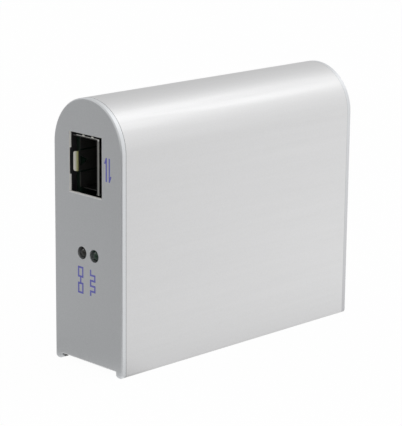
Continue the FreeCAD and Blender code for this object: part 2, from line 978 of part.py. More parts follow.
def make_led_leads():
    """The lamps' leads: out of the flange, then down through the board."""
    body = new_body("led_leads")
    thick = size.led_lead / 2
    profiles = []
    for off, place in zip(led_places(), led_lead_places()):
        profiles.append([
            (led_back, off - thick),
            (place - thick, off - thick),
            (place - thick, -size.tail_length),
            (place + thick, -size.tail_length),
            (place + thick, off + thick),
            (led_back, off + thick),
        ])
    for name, side in (("low_leads", -1), ("high_leads", 1)):
        across = size.led_lead_spacing / 2 * side
        pad(body, name, "XZ", (across - thick, across + thick), *profiles)
    seat_on_board(body, up=size.led_height)
    return body


def make_led_holder():
    """Right-angle block that holds one lamp above the other, open at the back for the leads."""
    body = new_body("led_holder")
    half = size.led_holder_width / 2
    top = led_places()[1] + half
    pad(body, "holder_block", "YZ", (holder_front, holder_back), rectangle(-half, 0, half, top))
    seat = led_back - size.led_flange
    fit = size.led_fit
    lens = [circle(0, off, size.led_radius + fit) for off in led_places()]
    pocket(body, "lens_bores", "YZ", (holder_front, seat), *lens)
    reach = size.led_flange_radius + fit
    well = rectangle(-reach, 0, reach, led_places()[1] + reach)
    pocket(body, "flange_well", "YZ", (seat, holder_back), well)
    seat_on_board(body, up=size.led_height)
    return body


# ---- network jack -------------------------------------------------------------------------------


def port_outline():
    """The plug opening: a wide mouth with two steps for the plug's latch."""
    wide = size.port_width / 2
    step = size.port_step_width / 2
    key = size.port_key_width / 2
    floor = port_roof - size.port_height
    step_floor = floor - size.port_step_depth
    key_floor = step_floor - size.port_key_depth
    return [
        (-key, key_floor),
        (key, key_floor),
        (key, step_floor),
        (step, step_floor),
        (step, floor),
        (wide, floor),
        (wide, port_roof),
        (-wide, port_roof),
        (-wide, floor),
        (-step, floor),
        (-step, step_floor),
        (-key, step_floor),
    ]


def make_jack_shield():
    """Folded sheet shield, open towards the board, with the port cut in its front."""
    body = new_body("network_jack_shield")
    half = size.jack_width / 2
    sheet = size.jack_sheet
    outside = rectangle(jack_back, -half, jack_front, half)
    pad(body, "shield_block", "XY", (0, size.jack_height), outside)
    inside = rectangle(jack_back + sheet, sheet - half, jack_front - sheet, half - sheet)
    pocket(body, "shield_inside", "XY", (0, size.jack_height - sheet), inside)
    pocket(body, "shield_port", "YZ", (jack_front - sheet, jack_front), port_outline())
    seat_on_board(body, up=jack_height_up)
    return body


def jack_wire_rows():
    """Heights in the case of the jack's wires, from the lowest to the highest."""
    lowest = jack_height_up - size.wire_spacing * (size.wire_count - 1) / 2
    return [lowest + size.wire_spacing * number for number in range(int(size.wire_count.value))]


def make_jack_contacts():
    """Eight spring wires that slant into the port from its roof and run back to the board."""
    body = new_body("network_jack_contacts")
    thick = size.wire_thickness
    bend = jack_front - size.wire_bend_setback
    tip = bend - size.wire_reach
    run = port_roof + thick
    back = jack_wire_back
    low = port_roof - size.wire_tip_drop
    outline = [
        (tip, low),
        (bend, run - thick),
        (bend, run + thick),
        (back, run + thick),
        (back, -size.tail_length),
        (back + thick, -size.tail_length),
        (back + thick, run),
        (bend - thick, run),
        (bend - thick, run - thick / 2),
        (tip, low + thick),
    ]
    first = -size.wire_spacing * (size.wire_count - 1) / 2
    wide = size.wire_width / 2
    wire = pad(body, "jack_wire", "XZ", (first - wide, first + wide), outline)
    repeat(body, [wire], "Y", size.wire_count, size.wire_spacing)
    seat_on_board(body, up=jack_height_up)
    return body


def make_jack_insert(contacts):
    """Moulded insert of the network jack, with the port and two posts through the board."""
    body = new_body("network_jack_moulding")
    gap = size.jack_sheet + size.insert_clearance
    half = size.jack_width / 2 - gap
    block = rectangle(jack_back + gap, -half, jack_front - gap, half)
    pad(body, "insert_block", "XY", (0, size.jack_height - gap), block)
    port_back = jack_front - gap - size.port_depth
    pocket(body, "insert_port", "YZ", (port_back, jack_front - gap), port_outline())
    along = jack_front - size.jack_post_setback
    posts = [
        circle(along, size.jack_post_spacing / 2 * side, size.jack_post_radius) for side in (-1, 1)
    ]
    pad(body, "insert_posts", "XY", (-size.tail_length, size.jack_sheet), *posts)
    seat_on_board(body, up=jack_height_up)
    return cut_away("network_jack_insert", body, contacts)


# ---- DC inlet -----------------------------------------------------------------------------------


def inlet_strip_places():
    """Where the inlet's sleeve spring and centre terminal pass through the board."""
    spring = inlet_front - size.inlet_bore_depth + size.inlet_spring_setback
    return [spring, inlet_back + size.inlet_strip / 2]


def make_inlet_pin():
    """Centre pin of the inlet, with a bevelled tip, riveted through the back wall."""
    body = new_body("power_jack_pin")
    r = size.inlet_pin_radius
    tip = inlet_front - (size.inlet_bore_depth - size.inlet_pin_length)
    back = inlet_back + size.inlet_strip
    bevel = size.inlet_pin_bevel
    outline = [(back, 0), (tip, 0), (tip, r - bevel), (tip - bevel, r), (back, r)]
    turn(body, "Revolution", "pin_shaft", "XZ", (0, 0, 0), outline, "H_Axis")
    seat_on_board(body, up=size.inlet_height, off=size.inlet_axis)
    return body


def make_inlet_springs():
    """Sleeve spring in the bore and the terminal of the centre pin, both down through the board."""
    body = new_body("power_jack_springs")
    thick = size.inlet_strip
    half = size.inlet_strip_width / 2
    spring_place, pin_place = inlet_strip_places()
    bore_low = size.inlet_axis - size.inlet_bore_radius
    mouth = inlet_front - size.inlet_flange / 2
    hump = bore_low + size.inlet_spring_rise
    spring = [
        (spring_place - thick / 2, -size.tail_length),
        (spring_place + thick / 2, -size.tail_length),
        (spring_place + thick / 2, bore_low),
        (mouth - size.inlet_flange, hump - thick),
        (mouth, bore_low),
        (mouth, bore_low + thick),
        (mouth - size.inlet_flange, hump),
        (spring_place - thick / 2, bore_low + thick),
    ]
    pad(body, "sleeve_spring", "XZ", (-half, half), spring)
    terminal = rectangle(
        pin_place - thick / 2,
        -size.tail_length,
        pin_place + thick / 2,
        size.inlet_axis + size.inlet_pin_radius,
    )
    pad(body, "pin_terminal", "XZ", (-half, half), terminal)
    seat_on_board(body, up=size.inlet_height)
    return body


def make_inlet_body(springs, pin):
    """Moulded DC inlet: a square flange, a round-backed barrel and the bore for the plug."""
    body = new_body("power_jack_moulding")
    half = size.inlet_width / 2
    flange_back = inlet_front - size.inlet_flange
    flange = rectangle(-half, 0, half, size.inlet_tall)
    pad(body, "inlet_flange_block", "YZ", (flange_back, inlet_front), flange)
    r = size.inlet_barrel_radius
    barrel = [
        (-r, 0),
        (r, 0),
        arc_to((r, size.inlet_axis), (0, size.inlet_axis)),
        (-r, size.inlet_axis),
    ]
    pad(body, "inlet_barrel", "YZ", (inlet_back, flange_back), barrel)
    bore = circle(0, size.inlet_axis, size.inlet_bore_radius)
    pocket(body, "inlet_bore", "YZ", (inlet_front - size.inlet_bore_depth, inlet_front), bore)
    seat_on_board(body, up=size.inlet_height)
    clear_of_springs = cut_away("power_jack_springs_seat", body, springs)
    return cut_away("power_jack_body", clear_of_springs, pin)


# ---- packages on the board ----------------------------------------------------------------------


def gull_wing(half, foot_side):
    """Side view of one lead: a foot on the board, a riser and a shoulder into the package."""
    sheet = size.lead_sheet
    knee = half + size.lead_shoulder
    toe = knee + size.lead_foot
    outline = [
        (half, size.lead_rise - sheet),
        (knee - sheet, size.lead_rise - sheet),
        (knee - sheet, 0),
        (toe, 0),
        (toe, sheet),
        (knee, sheet),
        (knee, size.lead_rise),
        (half, size.lead_rise),
    ]
    return [(x * foot_side, y) for x, y in outline]


def add_lead_rows(body, name, axis, half, count, spacing):
    """Two facing rows of leads that run along an axis, at half the package's width from it."""
    plane = "YZ" if axis == "X" else "XZ"
    first = -spacing * (count - 1) / 2
    wide = size.lead_width / 2
    pair = [gull_wing(half, side) for side in (-1, 1)]
    row = pad(body, name, plane, (first - wide, first + wide), *pair)
    return repeat(body, [row], axis, count, spacing)


def make_package(label, length, width, thickness, along, up):
    """A moulded package, held off the board by its leads."""
    body = new_body(label)
    base = size.package_standoff
    outline = rectangle(-length / 2, -width / 2, length / 2, width / 2)
    pad(body, f"{label}_block", "XY", (base, base + thickness), outline)
    seat_on_board(body, along=along, up=up)
    return body


def transformer_place():
    """In front of the jack and above the capacitors."""
    along = jack_back - size.transformer_setback - size.transformer_length / 2
    low = size.can_up + size.can_base_size / 2 + size.transformer_gap
    return along, low + size.transformer_width / 2


def crystal_up():
    """Height of the crystal, above the leads of the main chip."""
    leads = size.chip_size / 2 + size.lead_shoulder + size.lead_foot
    return size.chip_up + leads + size.crystal_gap + size.crystal_width / 2


def make_packages():
    """Chip, transformer, memory and regulator, with the leads that they stand on."""
    chip = size.chip_size
    made = [
        make_package("converter_chip", chip, chip, size.chip_thickness, size.chip_along, size.chip_up)
    ]
    chip_leads = new_body("converter_chip_leads")
    for axis in ("X", "Y"):
        add_lead_rows(
            chip_leads,
            f"chip_row_{axis}",
            axis,
            chip / 2,
            size.chip_lead_count,
            size.chip_lead_spacing,
        )
    seat_on_board(chip_leads, along=size.chip_along, up=size.chip_up)
    made.append(chip_leads)
    length, width = size.transformer_length, size.transformer_width
    place = transformer_place()
    made.append(make_package("pulse_transformer", length, width, size.transformer_height, *place))
    transformer_leads = new_body("transformer_leads")
    count, spacing = size.transformer_lead_count, size.transformer_lead_spacing
    add_lead_rows(transformer_leads, "transformer_rows", "Y", length / 2, count, spacing)
    seat_on_board(transformer_leads, *place)
    made.append(transformer_leads)
    small = (size.small_length, size.small_width, size.small_thickness)
    memory = (size.memory_along, crystal_up())
    regulator = (size.regulator_along, size.regulator_up)
    for label, spot in (("memory_chip", memory), ("voltage_regulator", regulator)):
        made.append(make_package(label, *small, *spot))
        leads = new_body(f"{label}_leads")
        count, spacing = size.small_lead_count, size.small_lead_spacing
        add_lead_rows(leads, f"{label}_rows", "X", size.small_width / 2, count, spacing)
        seat_on_board(leads, *spot)
        made.append(leads)
    return made


def make_crystal():
    """Metal crystal can with rounded ends on a thin flange."""
    body = new_body("crystal")
    half, reach = size.crystal_width / 2, size.crystal_length / 2
    rim = size.crystal_flange

    def stadium(inset):
        r = half - inset
        x = reach - half
        return [
            arc_to((x, -r), (x, 0)),
            (x, r),
            arc_to((-x, r), (-x, 0)),
            (-x, -r),
        ]

    pad(body, "crystal_base", "XY", (0, rim), stadium(as_length(0)))
    pad(body, "crystal_can", "XY", (rim, size.crystal_height), stadium(rim))
    seat_on_board(body, size.chip_along, crystal_up())
    return body


def make_inductor():
    """Shielded inductor: a square with cut corners and a shallow round well."""
    body = new_body("power_inductor")
    half = size.inductor_size / 2
    near = half - size.inductor_corner
    outline = [
        (near, -half),
        (half, -near),
        (half, near),
        (near, half),
        (-near, half),
        (-half, near),
        (-half, -near),
        (-near, -half),
    ]
    top = size.inductor_height
    pad(body, "inductor_block", "XY", (0, top), outline)
    well = circle(0, 0, size.inductor_well_radius)
    pocket(body, "inductor_well", "XY", (top - size.inductor_well_depth, top), well)
    seat_on_board(body, size.inductor_along, size.inductor_up)
    return body


def can_places():
    return [0, size.can_spacing]


def make_capacitors():
    """Two aluminium cans with a crimped groove, each on its own moulded base."""
    cans = new_body("smoothing_capacitors")
    base = size.can_base_height
    r = size.can_radius
    groove = size.can_groove
    crimp = base + size.can_groove_rise
    top = base + size.can_height
    outline = [
        (0, base),
        (r, base),
        (r, crimp),
        (r - groove, crimp + groove),
        (r, crimp + groove * 2),
        (r, top),
        (0, top),
    ]
    bases = new_body("capacitor_bases")
    half = size.can_base_size / 2
    cut = half - size.can_base_cut
    for number, shift in enumerate(can_places(), start=1):
        turn(cans, "Revolution", f"can_{number}", "XZ", (shift, 0, 0), outline, "V_Axis")
        plate = [
            (shift - half, -half),
            (shift + cut, -half),
            (shift + half, -cut),
            (shift + half, cut),
            (shift + cut, half),
            (shift - half, half),
        ]
        pad(bases, f"can_base_{number}", "XY", (0, base), plate)
    for body in (cans, bases):
        seat_on_board(body, size.can_along, size.can_up)
    return [cans, bases]


def make_passives():
    """Rows of chip capacitors and chip resistors."""
    made = []
    rows = (
        ("bypass_capacitors", size.passive_height, 0),
        ("chip_resistors", size.resistor_height, size.resistor_row_gap),
    )
    for label, height, shift in rows:
        body = new_body(label)
        block = rectangle(0, 0, size.passive_length, size.passive_width)
        part = pad(body, f"{label}_block", "XY", (0, height), block)
        repeat(body, [part], "X", size.passive_count, size.passive_spacing)
        seat_on_board(body, size.passive_along, size.passive_up + shift)
        made.append(body)
    return made


# ---- assembly and export ------------------------------------------------------------------------


def make_all():
    slot_contacts = make_slot_contacts()
    jack_contacts = make_jack_contacts()
    springs = make_inlet_springs()
    pin = make_inlet_pin()
    low, high = led_places()
    return [
        make_housing(),
        make_front_cap(),
        make_rear_cap(),
        make_floor_screws(),
        make_main_board(),
        make_cage_shell(),
        make_spring_collar(),
        make_cage_floor(),
        make_slot_connector(slot_contacts),
        slot_contacts,
        make_led("link_led", low),
        make_led("activity_led", high),
        make_led_holder(),
        make_led_leads(),
        make_jack_shield(),
        make_jack_insert(jack_contacts),
        jack_contacts,
        make_inlet_body(springs, pin),
        pin,
        springs,
        *make_packages(),
        make_crystal(),
        make_inductor(),
        *make_capacitors(),
        *make_passives(),
    ]


def check(parts):
    """Stops before anything is written if a feature failed or a shape is not sound."""
    for item in document.Objects:
        if {"Invalid", "Error"} & set(item.State):
            raise RuntimeError(f"{item.Label} failed: {item.State}")
    for part in parts:
        if part.Shape.isNull() or not part.Shape.isValid() or not part.Shape.Solids:
            raise RuntimeError(f"{part.Label} has no sound shape")


parts = make_all()
document.recompute()
check(parts)
os.makedirs("parts", exist_ok=True)
for part in parts:
    part.Shape.exportStep(f"parts/{part.Label}.step")
    print(part.Label, len(part.Shape.Solids), round(part.Shape.Volume, 1))
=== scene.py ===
import math

import bmesh
import bpy
from mathutils import Matrix, Vector


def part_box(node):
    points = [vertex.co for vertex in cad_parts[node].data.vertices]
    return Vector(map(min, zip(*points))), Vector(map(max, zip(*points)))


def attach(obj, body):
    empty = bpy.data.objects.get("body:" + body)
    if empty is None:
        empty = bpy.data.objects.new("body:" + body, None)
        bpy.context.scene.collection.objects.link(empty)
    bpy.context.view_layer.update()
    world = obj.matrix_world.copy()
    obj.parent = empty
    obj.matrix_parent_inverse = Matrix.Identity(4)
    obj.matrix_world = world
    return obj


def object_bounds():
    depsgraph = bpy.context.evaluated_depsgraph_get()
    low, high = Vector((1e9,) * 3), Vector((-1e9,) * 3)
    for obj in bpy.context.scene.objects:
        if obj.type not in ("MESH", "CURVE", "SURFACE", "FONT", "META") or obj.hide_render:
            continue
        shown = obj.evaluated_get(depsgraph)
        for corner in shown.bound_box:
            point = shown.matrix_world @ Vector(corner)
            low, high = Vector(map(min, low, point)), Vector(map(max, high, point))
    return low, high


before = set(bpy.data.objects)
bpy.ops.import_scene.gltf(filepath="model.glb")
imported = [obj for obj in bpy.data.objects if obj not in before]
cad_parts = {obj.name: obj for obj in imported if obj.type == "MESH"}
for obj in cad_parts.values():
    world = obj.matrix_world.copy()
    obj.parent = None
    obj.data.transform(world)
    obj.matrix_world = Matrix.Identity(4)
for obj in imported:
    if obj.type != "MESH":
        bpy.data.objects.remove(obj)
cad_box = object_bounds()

# Fibre media converter: an extruded aluminium case on edge with a silver cap at each end. The frame
# brings all of its solids; this script gives them their finishes, prints the marks on the front cap
# and sets the studio. Metres, with the origin on the table under the middle of the case.

MM = 0.001

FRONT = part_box("front_cap")
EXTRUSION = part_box("housing")
SLOT_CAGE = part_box("cage_shell")
CASE_CENTRE = (cad_box[0] + cad_box[1]) / 2


# ---- nodes and colours --------------------------------------------------------------------------


def colour(hex_code):
    """An sRGB hex colour as the linear RGBA that the shaders take."""
    channels = [int(hex_code[start : start + 2], 16) / 255 for start in (1, 3, 5)]
    linear = [c / 12.92 if c <= 0.04045 else ((c + 0.055) / 1.055) ** 2.4 for c in channels]
    return (*linear, 1.0)


def node(tree, kind, inputs=(), **settings):
    """Adds one shader node with its settings and links. The inputs come by name, or as a list in
    the sockets' order: each is a value, a hex colour, an output of another node, or another node,
    whose first live output is meant."""
    made = tree.nodes.new("ShaderNode" + kind)
    for name, value in settings.items():
        setattr(made, name, value)
    for key, value in inputs.items() if isinstance(inputs, dict) else enumerate(inputs):
        if isinstance(value, bpy.types.Node):
            value = next(output for output in value.outputs if output.enabled)
        if isinstance(value, bpy.types.NodeSocket):
            tree.links.new(value, made.inputs[key])
        else:
            made.inputs[key].default_value = colour(value) if isinstance(value, str) else value
    return made


def start_material(name):
    """An empty node material, with its tree and the place on the piece in metres."""
    material = bpy.data.materials.new(name)
    material.use_nodes = True
    tree = material.node_tree
    tree.nodes.clear()
    place = node(tree, "TexCoord").outputs["Object"]
    return material, tree, place


def between(tree, value, low, high):
    """1 where a number lies between low and high, otherwise 0."""
    above = node(tree, "Math", (value, low), operation="GREATER_THAN")
    below = node(tree, "Math", (value, high), operation="LESS_THAN")
    return node(tree, "Math", (above, below), operation="MULTIPLY")


def speckle(tree, place, size_mm, detail=2.0, stretch=(1, 1, 1)):
    """A random pattern from 0 to 1 whose spots are size_mm across. A stretch below 1 draws them out
    into streaks along that axis."""
    mapped = node(tree, "Mapping", {"Vector": place, "Scale": stretch})
    spots = node(
        tree, "TexNoise", {"Vector": mapped, "Scale": 1 / (size_mm * MM), "Detail": detail}
    )
    return spots.outputs["Fac"]


# ---- finishes of the case -----------------------------------------------------------------------

# painted shade: a grey hairline stands in for the shadow in the seam between the extrusion and each
# cap
SEAM_HALF = 0.06 * MM
SEAM_SHADE_GREY = "#707072"
REAR_SEAM_SHADE = 0.3


def seam_shade(tree, place):
    """How much painted shade darkens the hairline where the extrusion meets a cap: 1 in front,
    less at the rear cap, and 0 beside it."""
    along_case = node(tree, "SeparateXYZ", [place]).outputs["Y"]
    away = node(tree, "Math", [along_case], operation="ABSOLUTE")
    line = between(tree, away, EXTRUSION[1].y - SEAM_HALF, EXTRUSION[1].y + SEAM_HALF)
    rear = node(tree, "Math", (along_case, 0), operation="GREATER_THAN")
    fit = node(tree, "MapRange", (rear, 0, 1, 1, REAR_SEAM_SHADE))
    return node(tree, "Math", (line, fit), operation="MULTIPLY")


def anodised_aluminium():
    """Extruded, bead blasted and clear anodised: a silver satin with a very fine grain. The die
    leaves lines along the case that take the anodising unevenly, so that its sheen is streaked."""
    material, tree, place = start_material("anodised_aluminium")
    die_lines = speckle(tree, place, 1.4, 3.0, (1, 0.03, 1))
    # blasted grain is about 0.1 mm; drawn at 0.35 mm so that it shows
    grain = speckle(tree, place, 0.35, 3.0)
    silver = node(
        tree, "Mix", {"Factor": grain, "A": "#D9D9D9", "B": "#E1E1E2"}, data_type="RGBA"
    )
    # painted shade in the seams at the ends of the extrusion
    shade = node(
        tree,
        "Mix",
        {"Factor": seam_shade(tree, place), "A": silver, "B": SEAM_SHADE_GREY},
        data_type="RGBA",
    )
    lined = node(tree, "Bump", {"Height": die_lines, "Distance": 0.004 * MM})
    surface = node(
        tree,
        "BsdfPrincipled",
        {
            "Base Color": shade,
            "Metallic": 1.0,
            "Roughness": node(tree, "MapRange", (die_lines, 0, 1, 0.31, 0.55)),
            "Normal": node(
                tree, "Bump", {"Height": grain, "Distance": 0.006 * MM, "Normal": lined}
            ),
        },
    )
    node(tree, "OutputMaterial", {"Surface": surface})
    return material


PAINT_DARK, PAINT_LIGHT = "#D8DADC", "#E3E5E7"
# painted shade: the colour that the rear cap is drawn towards at its foot
REAR_FOOT_SHADE = "#C6C6C8"
# painted highlight: the colour of the bright lines along the cap's lower edge and the slot's sill
EDGE_HIGHLIGHT = "#FAFAFA"
BARE_PLASTIC = "#F6F5F0"
# painted shade: the dark grey of the inside, which lies in shade behind the slot
INSIDE_SHADE = "#4E4E50"
SLOT_MARGIN = 3 * MM
SLOT_WEB = 0.9 * MM
WEB_FOOT = FRONT[0].z + 1.45 * MM
WEB_REACH = FRONT[1].x - 2.4 * MM
HIGHLIGHT_HEIGHT = 0.5 * MM
SILL_TOP = SLOT_CAGE[0].z - 0.65 * MM
SILL_HEIGHT = 0.3 * MM
SILL_ENDS = SLOT_CAGE[0].x + 0.8 * MM, SLOT_CAGE[1].x + 1.6 * MM


def slot_walls(tree, spot):
    """1 on the walls of the transceiver slot, which face sideways, up or down."""
    facing = node(tree, "SeparateXYZ", [node(tree, "TexCoord").outputs["Normal"]])
    walls = between(tree, facing.outputs["Y"], -0.5, 0.5)
    for index, axis in ((0, "X"), (2, "Z")):
        ends = SLOT_CAGE[0][index] - SLOT_MARGIN, SLOT_CAGE[1][index] + SLOT_MARGIN
        near = between(tree, spot.outputs[axis], *ends)
        walls = node(tree, "Math", (walls, near), operation="MULTIPLY")
    return walls


def inside_shade(tree, spot, walls):
    """1 where painted shade darkens the inside: in the case, and on the slot's walls behind its
    web.
    """
    depth = node(tree, "Math", [spot.outputs["Y"]], operation="ABSOLUTE")
    behind_web = node(tree, "Math", (depth, -FRONT[0].y - SLOT_WEB), operation="LESS_THAN")
    behind_web = node(tree, "Math", (walls, behind_web), operation="MULTIPLY")
    inside = node(tree, "Math", (depth, EXTRUSION[1].y), operation="LESS_THAN")
    return node(tree, "Math", (behind_web, inside), operation="MAXIMUM")


def edge_highlights(tree, spot):
    """1 where highlights are painted: the cap's lower edge between the legs, and the slot's sill.
    """
    height = spot.outputs["Z"]
    foot = node(tree, "MapRange", (height, WEB_FOOT, WEB_FOOT + HIGHLIGHT_HEIGHT, 1, 0))
    web = between(tree, spot.outputs["X"], -WEB_REACH, WEB_REACH)
    foot = node(tree, "Math", (foot, web), operation="MULTIPLY")
    sill = between(tree, height, SILL_TOP - SILL_HEIGHT, SILL_TOP)
    sill_run = between(tree, spot.outputs["X"], *SILL_ENDS)
    sill = node(tree, "Math", (sill, sill_run), operation="MULTIPLY")
    return node(tree, "Math", (foot, sill), operation="MAXIMUM")


def rear_foot_shade(tree, spot):
    """How much painted shade darkens the rear cap towards its foot: 0 at its top and on the
    front cap, 1 at its foot.
    """
    rear = node(tree, "Math", (spot.outputs["Y"], 0), operation="GREATER_THAN")
    fall = node(tree, "MapRange", (spot.outputs["Z"], 0, FRONT[1].z, 1, 0))
    return node(tree, "Math", (rear, fall), operation="MULTIPLY")


def silver_paint():
    """Moulded ABS sprayed with silver lacquer: satin grey with a fine metal flake and a slight
    orange peel, with painted highlights along its lower edge and the slot's. The transceiver slot
    is cut after spraying, so its walls are bare pale plastic. Painted shade darkens the inside to
    dark grey, and the rear cap towards its foot."""
    material, tree, place = start_material("silver_paint")
    # flakes are about 0.03 mm; drawn at 0.3 mm so that they show
    flake = speckle(tree, place, 0.3, 1.0)
    peel = speckle(tree, place, 1.6)
    spot = node(tree, "SeparateXYZ", [place])
    walls = slot_walls(tree, spot)
    # painted shade: the inside of the cap is drawn dark grey
    inside = inside_shade(tree, spot, walls)
    shade = PAINT_DARK
    for factor, coat in (
        (flake, PAINT_LIGHT),
        # painted shade on the rear cap towards its foot
        (rear_foot_shade(tree, spot), REAR_FOOT_SHADE),
        # painted highlights along the cap's lower edge and the slot's sill
        (edge_highlights(tree, spot), EDGE_HIGHLIGHT),
        (walls, BARE_PLASTIC),
        # painted shade in the seam where the cap meets the extrusion
        (seam_shade(tree, place), SEAM_SHADE_GREY),
        # painted shade inside the cap
        (inside, INSIDE_SHADE),
    ):
        shade = node(tree, "Mix", {"Factor": factor, "A": shade, "B": coat}, data_type="RGBA")
    # the bare walls and the painted shade inside are not metallic
    dull = node(tree, "Math", (walls, inside), operation="MAXIMUM")
    surface = node(
        tree,
        "BsdfPrincipled",
        {
            "Base Color": shade,
            "Metallic": node(tree, "MapRange", (dull, 0, 1, 0.9, 0)),
            "Roughness": node(tree, "MapRange", (flake, 0, 1, 0.42, 0.5)),
            "Normal": node(tree, "Bump", {"Height": peel, "Distance": 0.006 * MM}),
        },
    )
    node(tree, "OutputMaterial", {"Surface": surface})
    return material


def print_ink():
    """Blue-violet pad-printing ink: matt, a little thin and uneven on the paint."""
    material, tree, place = start_material("print_ink")
    thin = speckle(tree, place, 0.35, 3.0)
    surface = node(
        tree,
        "BsdfPrincipled",
        {
            "Base Color": node(
                tree, "Mix", {"Factor": thin, "A": "#4E4EA4", "B": "#7071BE"}, data_type="RGBA"
            ),
            "Roughness": node(tree, "MapRange", (thin, 0, 1, 0.5, 0.65)),
            "Normal": node(tree, "Bump", {"Height": thin, "Distance": 0.004 * MM}),
        },
    )
    node(tree, "OutputMaterial", {"Surface": surface})
    return material


# ---- finishes of the metal parts ----------------------------------------------------------------

ROLL_LINES_MM = 0.25
CLOUD_MM = 3.0
FOLD_DEPTH = 0.42 * MM
LIP_REACH, LIP_FADE = 0.9 * MM, 0.4 * MM
TONGUE_START, TONGUE_FADE = 1.5 * MM, 0.4 * MM


def rolled_metal(name, dark, light, roughness):
    """Rolled sheet metal: bright, with hairlines from the rolls that run up the sheet."""
    material, tree, place = start_material(name)
    streaks = speckle(tree, place, ROLL_LINES_MM, 3.0, (1, 1, 0.05))
    cloud = speckle(tree, place, CLOUD_MM)
    surface = node(
        tree,
        "BsdfPrincipled",
        {
            "Base Color": node(
                tree, "Mix", {"Factor": cloud, "A": dark, "B": light}, data_type="RGBA"
            ),
            "Metallic": 1.0,
            "Roughness": node(
                tree, "MapRange", (streaks, 0, 1, roughness - 0.04, roughness + 0.06)
            ),
            "Normal": node(tree, "Bump", {"Height": streaks, "Distance": 0.002 * MM}),
        },
    )
    node(tree, "OutputMaterial", {"Surface": surface})
    return material


def zinc_plated_steel():
    """Passivated zinc on screws: bluish silver with faint yellow patches."""
    return rolled_metal("zinc_plated_steel", "#A9B0B8", "#C4C0AE", 0.32)


def cage_steel():
    """Nickel on stamped sheet: mirror bright inside the cage, a little warm."""
    return rolled_metal("cage_steel", "#B9B6AE", "#C9C7C0", 0.13)


def tin_plate():
    """Hot-dip tin plate, dull; drawn dark grey as painted shade on sheet that lies deep in the
    slot.
    """
    # painted shade: dark grey for the sheet in the slot's shade
    return rolled_metal("tin_plate", "#4C4C4B", "#60605E", 0.34)


def tinned_lead():
    """Dip-tinned copper: soft silver grey, slightly dull."""
    return rolled_metal("tinned_lead", "#B4B5B4", "#CCCDCB", 0.36)


def gilt_contact():
    """Gold flashed over nickel on the sprung contacts."""
    return rolled_metal("gilt_contact", "#C79B3D", "#E0BC62", 0.24)


def capacitor_can():
    """Drawn aluminium can with a thin clear sleeve."""
    return rolled_metal("capacitor_can", "#C6C8CA", "#DADBDD", 0.22)


def spring_steel():
    """Stainless spring strip, greyed by its heat treatment, with a highlight painted along its
    upper fold."""
    material, tree, place = start_material("spring_steel")
    streaks = speckle(tree, place, ROLL_LINES_MM, 3.0, (1, 1, 0.05))
    cloud = speckle(tree, place, CLOUD_MM)
    spot = node(tree, "SeparateXYZ", [place])
    top = SLOT_CAGE[1].z
    # painted highlight: the top fold of the collar is drawn near white
    fold_highlight = node(tree, "MapRange", (spot.outputs["Z"], top - 0.5 * MM, top - 0.2 * MM, 0, 1))
    fold = node(
        tree, "Math", (spot.outputs["Y"], FRONT[0].y + FOLD_DEPTH), operation="LESS_THAN"
    )
    fold_highlight = node(tree, "Math", (fold_highlight, fold), operation="MULTIPLY")
    grey = node(
        tree, "Mix", {"Factor": cloud, "A": "#9E9E9B", "B": "#B4B4B0"}, data_type="RGBA"
    )
    surface = node(
        tree,
        "BsdfPrincipled",
        {
            "Base Color": node(
                tree, "Mix", {"Factor": fold_highlight, "A": grey, "B": "#F8F8F4"}, data_type="RGBA"
            ),
            "Metallic": 1.0,
            "Roughness": node(tree, "MapRange", (streaks, 0, 1, 0.26, 0.36)),
            "Normal": node(tree, "Bump", {"Height": streaks, "Distance": 0.002 * MM}),
        },
    )
    node(tree, "OutputMaterial", {"Surface": surface})
    return material


def latch_sheet():
    """Passivated sheet, drawn by depth: a painted highlight on the lip that the modules slide over,
    a painted olive reflection of the yellowish inside behind it, and painted shade, darker grey,
    on the tongue inside the cage."""
    material, tree, place = start_material("latch_sheet")
    streaks = speckle(tree, place, ROLL_LINES_MM, 3.0, (1, 0.05, 1))
    depth = node(tree, "SeparateXYZ", [place]).outputs["Y"]
    lip, tongue = FRONT[0].y + LIP_REACH, FRONT[0].y + TONGUE_START
    # painted highlight on the lip at the slot's mouth
    lip_highlight = node(tree, "MapRange", (depth, lip, lip + LIP_FADE, 1, 0))
    # painted shade: the tongue deeper in the cage is drawn darker grey
    inside = node(tree, "MapRange", (depth, tongue, tongue + TONGUE_FADE, 0, 1))
    # painted reflection: the olive stands in for the yellowish inside of the cage seen in the sheet
    olive_reflection = node(
        tree, "Mix", {"Factor": streaks, "A": "#B8B880", "B": "#C2C28C"}, data_type="RGBA"
    )
    bright = node(
        tree, "Mix", {"Factor": streaks, "A": "#E9E6DD", "B": "#F1EEE6"}, data_type="RGBA"
    )
    shade = node(tree, "Mix", {"Factor": lip_highlight, "A": olive_reflection, "B": bright}, data_type="RGBA")
    surface = node(
        tree,
        "BsdfPrincipled",
        {
            "Base Color": node(
                tree, "Mix", {"Factor": inside, "A": shade, "B": "#666663"}, data_type="RGBA"
            ),
            "Metallic": node(tree, "MapRange", (inside, 0, 1, 0.5, 0.85)),
            "Roughness": node(tree, "MapRange", (streaks, 0, 1, 0.26, 0.36)),
            "Normal": node(tree, "Bump", {"Height": streaks, "Distance": 0.002 * MM}),
        },
    )
    node(tree, "OutputMaterial", {"Surface": surface})
    return material


# ---- finishes of the moulded parts, the board and the lamps -------------------------------------


